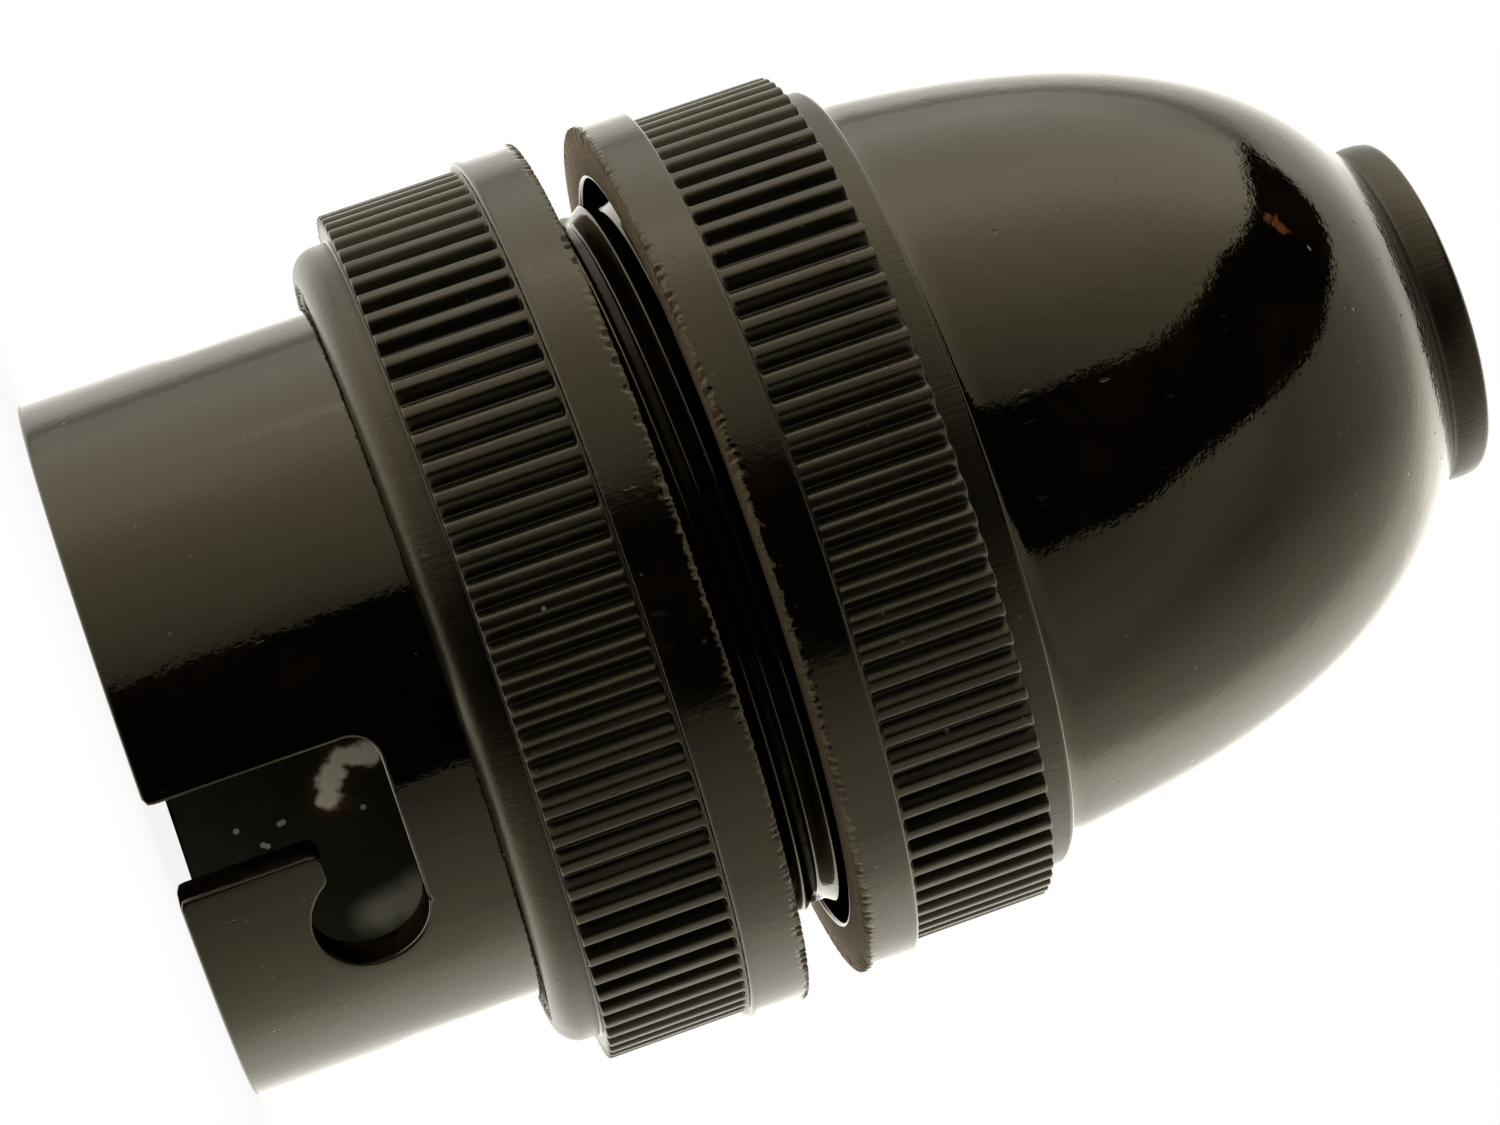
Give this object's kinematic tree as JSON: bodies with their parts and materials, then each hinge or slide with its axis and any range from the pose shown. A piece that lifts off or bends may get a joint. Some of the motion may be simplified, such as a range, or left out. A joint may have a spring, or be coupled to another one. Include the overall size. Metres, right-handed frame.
{
  "type": "bayonet lampholder",
  "caption": "Moulded pendant lampholder with bayonet slots, sprung contact plungers, screwed shade ring and ribbed dome cap with a lipped cord entry.",
  "frame": {"origin": "centre of the barrel's mouth, on the plane of its rim", "axes": "+Z along the barrel from the lamp end to the cord entry, -Y is the front, where a bayonet slot is"},
  "size_m": [0.0352, 0.0352, 0.0534],
  "materials": {
    "moulding": "glossy dark brown moulded resin",
    "inner_moulding": "dull dark brown moulded resin",
    "brass": "turned brass",
    "steel": "plain steel"
  },
  "bodies": {
    "barrel": {"bayonet_barrel": "moulding", "plunger_carrier": "inner_moulding", "terminal_bridge": "inner_moulding", "terminal_post_left": "brass", "terminal_post_right": "brass", "plunger_spring_left": "steel", "plunger_spring_right": "steel", "bridge_screw_front": "steel", "bridge_screw_back": "steel"},
    "shade_ring": {"shade_ring": "moulding"},
    "dome_cap": {"dome_cap": "moulding"},
    "plunger_left": {"plunger_left": "brass"},
    "plunger_right": {"plunger_right": "brass"},
    "terminal_screw_left": {"terminal_screw_left": "brass"},
    "terminal_screw_right": {"terminal_screw_right": "brass"}
  },
  "joints": [
    {"name": "ring_screw_travel", "type": "slide", "parent": "barrel", "child": "shade_ring", "axis": [0, 0, 1], "range_m": [-0.009, 0.0021]},
    {"name": "dome_lift", "type": "slide", "parent": "barrel", "child": "dome_cap", "axis": [0, 0, 1], "range_m": [0, 0.02]},
    {"name": "plunger_left_press", "type": "slide", "parent": "barrel", "child": "plunger_left", "axis": [0, 0, 1], "range_m": [0, 0.0045], "stiffness_N_per_m": 900, "springref_m": -0.001, "deforming": ["plunger_spring_left"]},
    {"name": "plunger_right_press", "type": "slide", "parent": "barrel", "child": "plunger_right", "axis": [0, 0, 1], "range_m": [0, 0.0045], "stiffness_N_per_m": 900, "springref_m": -0.001, "deforming": ["plunger_spring_right"]},
    {"name": "terminal_screw_left_back_out", "type": "slide", "parent": "barrel", "child": "terminal_screw_left", "axis": [0, 0, 1], "range_m": [0, 0.0018]},
    {"name": "terminal_screw_right_back_out", "type": "slide", "parent": "barrel", "child": "terminal_screw_right", "axis": [0, 0, 1], "range_m": [0, 0.0018]}
  ]
}
